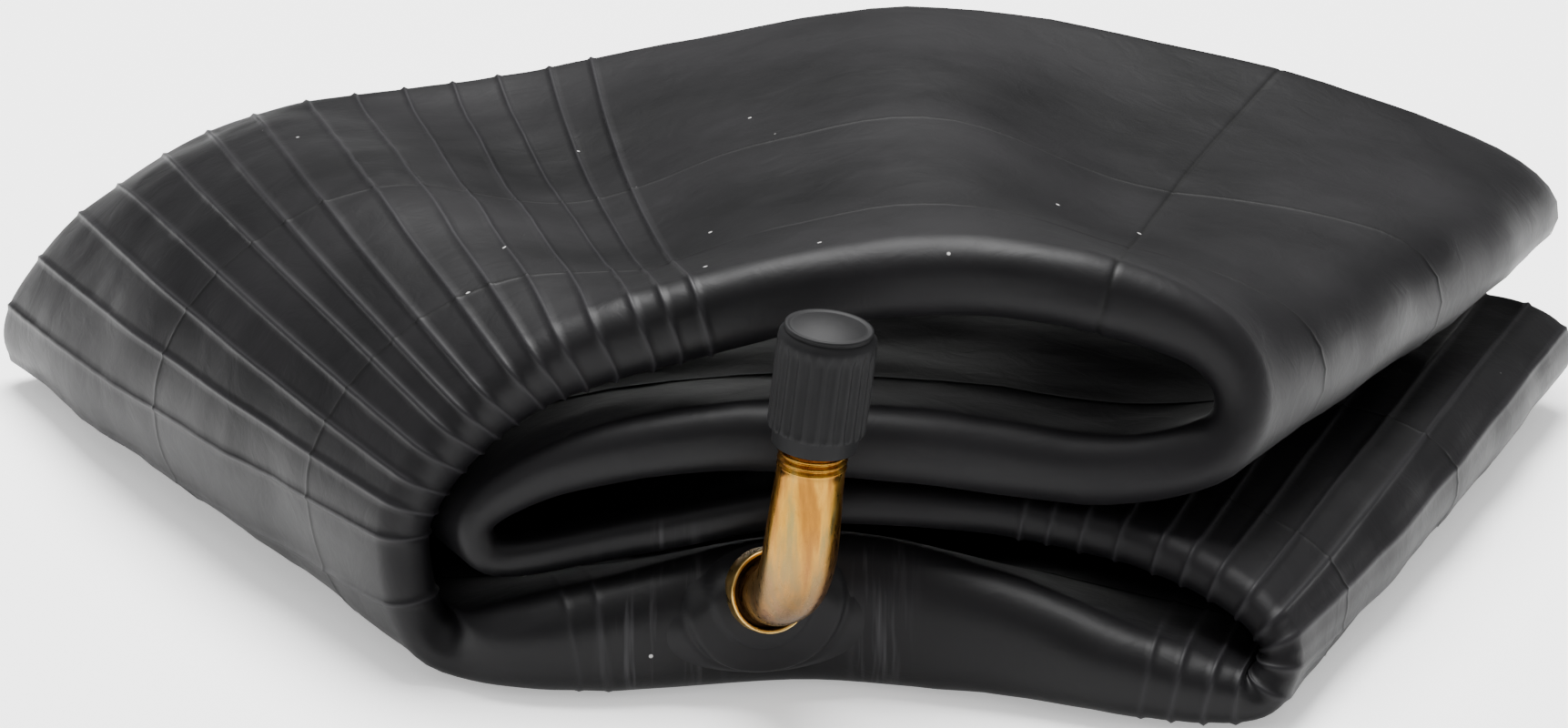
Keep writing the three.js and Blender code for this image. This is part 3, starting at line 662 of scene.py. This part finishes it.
def stemRows():
    # the stem's rings, from the foot to the tip and down the bore: centre, direction, half width,
    # half depth and thread share
    shape = stemShape
    base, elbow, tip = (Vector(valvePlace[k]) for k in ("base", "elbow", "tip"))
    out, up = Vector(valvePlace["baseDirection"]), Vector(valvePlace["stemDirection"])
    start, end = elbow - out * shape["bendRadius"], elbow + up * shape["bendRadius"]
    deep, wider = shape["bendDeep"], shape["bendWide"]
    foot = base + out * shape["footAbove"]
    rows = [(foot, out, 0.02, 0.02, 0), (foot, out, deep, deep, 0)]
    for i in range(shape["bendSteps"] + 1):
        t = i / shape["bendSteps"]
        centre = start * (1 - t) ** 2 + elbow * 2 * t * (1 - t) + end * t * t
        direction = ((elbow - start) * (1 - t) + (end - elbow) * t).normalized()
        full = math.sin(min(t * 1.6, 1) * math.pi / 2)
        rows.append((centre, direction, deep + (wider - deep) * full, deep, 0))
    plain = (tip - end).length - shape["threadLength"]
    for i in range(1, shape["plainSteps"] + 1):
        t = i / shape["plainSteps"]
        ease = t * t * (3 - 2 * t)
        halfWidth = wider + (shape["shank"] - wider) * ease
        halfDepth = deep + (shape["shank"] - deep) * ease
        rows.append((end + up * plain * t, up, halfWidth, halfDepth, 0))
    threadRows = int(shape["threadLength"] / shape["threadPitch"] * shape["rowsPerTurn"])
    for i in range(1, threadRows + 1):
        back = shape["threadLength"] * (1 - i / threadRows)
        share = min(1, (shape["threadLength"] - back) / 0.8, (back + 0.15) / 0.7)
        rows.append((tip - up * back, up, shape["radius"], shape["radius"], share))
    mouth = shape["radius"] - shape["chamfer"]
    rows.append((tip, up, mouth, mouth, 0))
    bore, barrel, passage = shape["bore"], shape["barrelBore"], shape["passage"]
    inside = [(bore + 0.15, 0), (bore, 0.15), (bore, shape["boreDepth"]),
              (barrel, shape["boreDepth"] + 0.3), (barrel, shape["barrelDepth"]),
              (passage, shape["barrelDepth"] + 0.1), (passage, shape["passageDepth"]),
              (0.02, shape["passageDepth"])]
    rows += [(tip - up * drop, up, radius, radius, 0) for radius, drop in inside]
    return rows


def makeStem():
    shape = stemShape
    rows = stemRows()
    around = shape["around"]
    side = Vector(valvePlace["baseDirection"]).cross(Vector(valvePlace["stemDirection"])).normalized()
    tip = Vector(valvePlace["tip"])
    mesh = bmesh.new()
    bmesh.ops.create_grid(mesh, x_segments=around, y_segments=len(rows) - 1, size=1)
    for vertex in mesh.verts:
        turn = round((vertex.co.x + 1) / 2 * around) / around
        centre, direction, wide, deep, thread = rows[round((vertex.co.y + 1) / 2 * (len(rows) - 1))]
        up = direction.cross(side)
        drop = (tip - centre).length
        ridge = abs((drop / shape["threadPitch"] + turn) % 1 * 2 - 1)
        cut = shape["threadDepth"] * thread * min(max(1.15 - 1.3 * ridge, 0), 1)
        angle = 2 * math.pi * turn
        reach = side * math.cos(angle) * (wide - cut) + up * math.sin(angle) * (deep - cut)
        vertex.co = (centre + reach) * mm
    bmesh.ops.remove_doubles(mesh, verts=mesh.verts, dist=1e-7)
    finishPiece(mesh, "valveStem", finishes["brass"], "tube", ["valve_stem"])

    top, lip = shape["collarTop"], shape["lip"]
    floor = top - shape["recess"]
    wall = shape["collar"] - lip
    lowest = shape["ringFoot"]
    ringProfile = rounded([(wall - 0.1, lowest), (wall - 0.1, floor), (wall, top - 0.05), (wall + 0.15, top),
                           (shape["collar"] - 0.08, top), (shape["collar"], top - 0.2),
                           (shape["collar"], lowest)], 0.1)
    # the floor inside the ring takes the near-black brown brass, partly its own dark brown and partly painted
    # shade of the recess
    floorProfile = [(0, floor), (wall - 0.3, floor), (wall - 0.15, floor - 0.1), (wall - 0.15, 0.4), (0, 0.4)]
    for name, profile, finish in (("valveRing", ringProfile + [ringProfile[0]], "ringBrass"),
                                  ("valveRingFloor", floorProfile, "tarnish")):
        ring = bmesh.new()
        spunShape(ring, profile, shape["ringSteps"], baseMatrix)
        ring.transform(Matrix.Scale(mm, 4))
        finishPiece(ring, name, finishes[finish], "tube", ["valve_stem"])


makeStem()
print("stem made")

patchShape = {
    "across": -2.0,
    "halfWidth": 13.8,
    "discRadius": 9.5,
    "bossRadius": 6.3,
    "layers": (1.5, 0.6, 0.5),
    "sunk": 0.7,
    "softEdge": 6,
    "layerEdge": 0.7,
    "groove": 0.18,
    "grooveWidth": 0.3,
    "margin": 0.6,
    "rings": 44,
    "around": 96,
}


def rimSurface(at, height, grow):
    # a point on the tube's rim edge: height runs from -1 at its underside to 1 at its top
    sizes = blendRows(railSizes, at)
    half = sizes[..., 0] / 2
    depth = np.linalg.norm(blendRows(railBack, at) - blendRows(railFront, at), axis=-1)
    rimRound = np.minimum(half, tubeShape["rimRounding"])
    turn = np.arcsin(np.clip(np.abs(height), 0, 1) ** (1 / tubeShape["rimFullness"]))
    w = (rimRound - (rimRound + grow) * np.cos(turn)) / depth
    here, normal, _ = bandFrame(at, w)
    return here + normal * (height * (half + grow))[..., None]


def makePatch():
    # an oval laid over the rim edge, thickest round the valve and thinning into the tube at its edge
    shape = patchShape
    across = np.linspace(-3, 3, 601)
    placeByX = rimSurface(across, np.zeros_like(across), np.zeros_like(across))[..., 0]
    order = np.argsort(placeByX)
    mesh = bmesh.new()
    rings, around = shape["rings"], shape["around"]
    out = np.linspace(0.02, 1, rings + 1)[None, :] * np.ones((around + 1, 1))
    turn = (np.arange(around + 1) / around * 2 * math.pi)[:, None] * np.ones_like(out)
    reach = out * shape["halfWidth"]
    x = shape["across"] + reach * np.cos(turn)
    at = np.interp(x, placeByX[order], across[order])
    half = blendRows(railSizes, at)[..., 0] / 2
    height = out * np.sin(turn) * (1 - shape["margin"] / half)
    plain = rimSurface(at, height, np.zeros_like(at))
    away = np.linalg.norm(plain - np.array(valvePlace["base"]), axis=-1)
    sheet, disc, boss = shape["layers"]
    thick = -shape["sunk"] + sheet * smoothStep((shape["halfWidth"] - reach) / shape["softEdge"])
    thick += disc * smoothStep((shape["discRadius"] - away) / shape["layerEdge"])
    thick += boss * smoothStep((shape["bossRadius"] - away) / shape["layerEdge"])
    thick -= shape["groove"] * np.exp(-((away - shape["discRadius"] - 0.1) / shape["grooveWidth"]) ** 2)
    points = rimSurface(at, height, thick)
    bmesh.ops.create_grid(mesh, x_segments=around, y_segments=rings, size=1)
    for vertex in mesh.verts:
        i = round((vertex.co.x + 1) / 2 * around) % around
        j = round((vertex.co.y + 1) / 2 * rings)
        vertex.co = points[i, j] * mm
    bmesh.ops.remove_doubles(mesh, verts=mesh.verts, dist=1e-7)
    finishPiece(mesh, "valvePatch", finishes["patch"], "tube", ["valve_pad"])


makePatch()
print("patch made")

capShape = {
    "inside": 4.15,
    "wall": 5.38,
    "collar": 4.68,
    "disc": 4.8,
    "foot": -11.7,
    "collarHeight": 1.7,
    "roof": 1.2,
    "top": 2.0,
    "dome": 0.85,
    "domeRadius": 4.2,
    "domeDrop": 0.12,
    "shoulder": 1.0,
    "flutes": 24,
    "fluteDepth": 0.3,
    "fluteShare": 0.72,
    "fluteRows": 26,
    "stepsPerFlute": 12,
}


def makeCap():
    shape = capShape
    foot, top, wall = shape["foot"], shape["top"], shape["wall"]
    step = foot + shape["collarHeight"]
    outside = [(shape["inside"], foot), (shape["collar"], foot), (shape["collar"] + 0.06, step),
               (wall - 0.1, step + 0.25), (wall, step + 0.6)]
    fluteRows = shape["fluteRows"]
    outside += [(wall, step + 0.6 + i * (shape["shoulder"] - step - 1.2) / fluteRows)
                for i in range(1, fluteRows + 1)]
    outside += [(wall - 0.08, shape["shoulder"]), (shape["disc"] + 0.02, shape["shoulder"] + 0.4),
                (shape["disc"] - 0.12, top - 0.42), (shape["disc"] + 0.05, top - 0.3), (shape["disc"], top),
                (shape["disc"] - 0.35, top + 0.02), (shape["disc"] - 0.55, top - shape["domeDrop"])]
    dome = [(r, top - shape["domeDrop"] + shape["dome"] * (1 - (r / shape["domeRadius"]) ** 2))
            for r in (4.2, 3.9, 3.6, 3, 2.4, 1.8, 1.2, 0.6, 0)]
    inside = [(0, shape["roof"]), (shape["inside"], shape["roof"]), (shape["inside"], foot)]
    mesh = bmesh.new()
    spunShape(mesh, outside + dome + inside, shape["flutes"] * shape["stepsPerFlute"])
    low, high = step + 0.5, shape["shoulder"] - 1.1
    for vertex in mesh.verts:
        radius = math.hypot(vertex.co.x, vertex.co.y)
        if radius < wall - 0.2 or not low - 0.4 < vertex.co.z < high + 0.4:
            continue
        turn = math.atan2(vertex.co.y, vertex.co.x) / (2 * math.pi) * shape["flutes"]
        beside = abs(turn - round(turn)) * 2
        ends = min(vertex.co.z - low, high - vertex.co.z)
        reach = math.sqrt(max(0, min(1, (ends + 0.3) / 0.9)))
        share = shape["fluteShare"]
        hollow = max(0, 1 - (beside / share) ** 2) * reach if beside < reach * share else 0
        factor = 1 - shape["fluteDepth"] * hollow / radius
        vertex.co.x *= factor
        vertex.co.y *= factor
    mesh.transform(Matrix.Scale(mm, 4) @ tipMatrix)
    finishPiece(mesh, "dustCap", finishes["plastic"], "cap", ["valve_cap"])


makeCap()

springShape = {
    "wire": 0.15,
    "wireSides": 10,
    "radius": 1.02,
    "turns": 6,
    "stepsPerTurn": 24,
    "length": 4.1,
    "ledge": -12.7,
    "travel": 1.2,
}


def makeSpring():
    shape = springShape
    mesh = bmesh.new()
    turned = Matrix.Translation((shape["radius"], 0, shape["ledge"] + shape["wire"])) @ \
        Matrix.Rotation(math.pi / 2, 4, "X")
    made = bmesh.ops.create_circle(mesh, cap_ends=False, segments=shape["wireSides"],
                                   radius=shape["wire"], matrix=turned)
    steps = shape["turns"] * shape["stepsPerTurn"]
    rise = (shape["length"] - 2 * shape["wire"]) / steps
    bmesh.ops.spin(mesh, geom=made["verts"] + mesh.edges[:], cent=(0, 0, 0), axis=(0, 0, 1),
                   dvec=(0, 0, rise), angle=2 * math.pi * shape["turns"], steps=steps,
                   use_merge=False, use_normal_flip=False, use_duplicate=False)
    ends = [e for e in mesh.edges if e.is_boundary]
    bmesh.ops.holes_fill(mesh, edges=ends, sides=shape["wireSides"] + 2)
    mesh.transform(Matrix.Scale(mm, 4) @ tipMatrix)
    spring = finishPiece(mesh, "coreSpringCoil", finishes["springSteel"], "tube",
                         ["core_spring"])
    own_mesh(spring)


makeSpring()
print("cap and spring made")

# small turned parts that keep their machined shape
for node, finish in (("cap_seal", "patch"), ("core_plug", "coreBrass"), ("core_barrel", "coreBrass"),
                     ("core_barrel_seal", "patch"), ("core_pin", "coreBrass"), ("core_cup", "coreBrass"),
                     ("core_cup_seal", "patch")):
    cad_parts[node].data.materials.clear()
    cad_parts[node].data.materials.append(finishes[finish])

# ---- floor and light ----
studio = {
    "floor": "fbfbfb",
    "size": 4.0,
    "floorDrop": 0.0002,
    "horizon": "2e2e2e",
    "ceiling": "ffffff",
    "glow": 1.3,
    "floorGlow": 0.5,
    "aim": (0, 0, 0.02),
}


def makeStudio():
    mesh = bmesh.new()
    bmesh.ops.create_grid(mesh, x_segments=1, y_segments=1, size=studio["size"])
    data = bpy.data.meshes.new("floor")
    mesh.to_mesh(data)
    mesh.free()
    floor = bpy.data.objects.new("floor", data)
    floor.location.z = -studio["floorDrop"]
    bpy.context.collection.objects.link(floor)
    material, _, shader, _ = newMaterial("paleFloor")
    shader.inputs["Base Color"].default_value = linearColour(studio["floor"])
    shader.inputs["Roughness"].default_value = 0.9
    shader.inputs["Emission Color"].default_value = (1, 1, 1, 1)
    shader.inputs["Emission Strength"].default_value = studio["floorGlow"]
    data.materials.append(material)
    world = bpy.data.worlds.new("studio")
    world.use_nodes = True
    sky = addNode(world.node_tree, "ShaderNodeTexCoord").outputs["Generated"]
    height = addNode(world.node_tree, "ShaderNodeSeparateXYZ", {"Vector": sky}).outputs["Z"]
    glow = ramp(world.node_tree, height, 0.25, 0.95, (studio["horizon"], studio["ceiling"]))
    background = world.node_tree.nodes["Background"]
    world.node_tree.links.new(glow, background.inputs["Color"])
    background.inputs["Strength"].default_value = studio["glow"]
    bpy.context.scene.world = world


def softLight(name, place, size, power):
    data = bpy.data.lights.new(name, "AREA")
    data.shape = "DISK"
    data.size = size
    data.energy = power
    lamp = bpy.data.objects.new(name, data)
    lamp.location = place
    towards = Vector(studio["aim"]) - Vector(place)
    lamp.rotation_euler = towards.to_track_quat("-Z", "Y").to_euler()
    bpy.context.collection.objects.link(lamp)


makeStudio()
softLight("overhead", (0.0, 0.25, 0.9), 0.7, 30)
softLight("frontLeft", (-0.7, -0.7, 0.6), 0.5, 0.9)
softLight("frontRight", (0.8, -0.5, 0.5), 0.5, 0.7)
print("studio made")
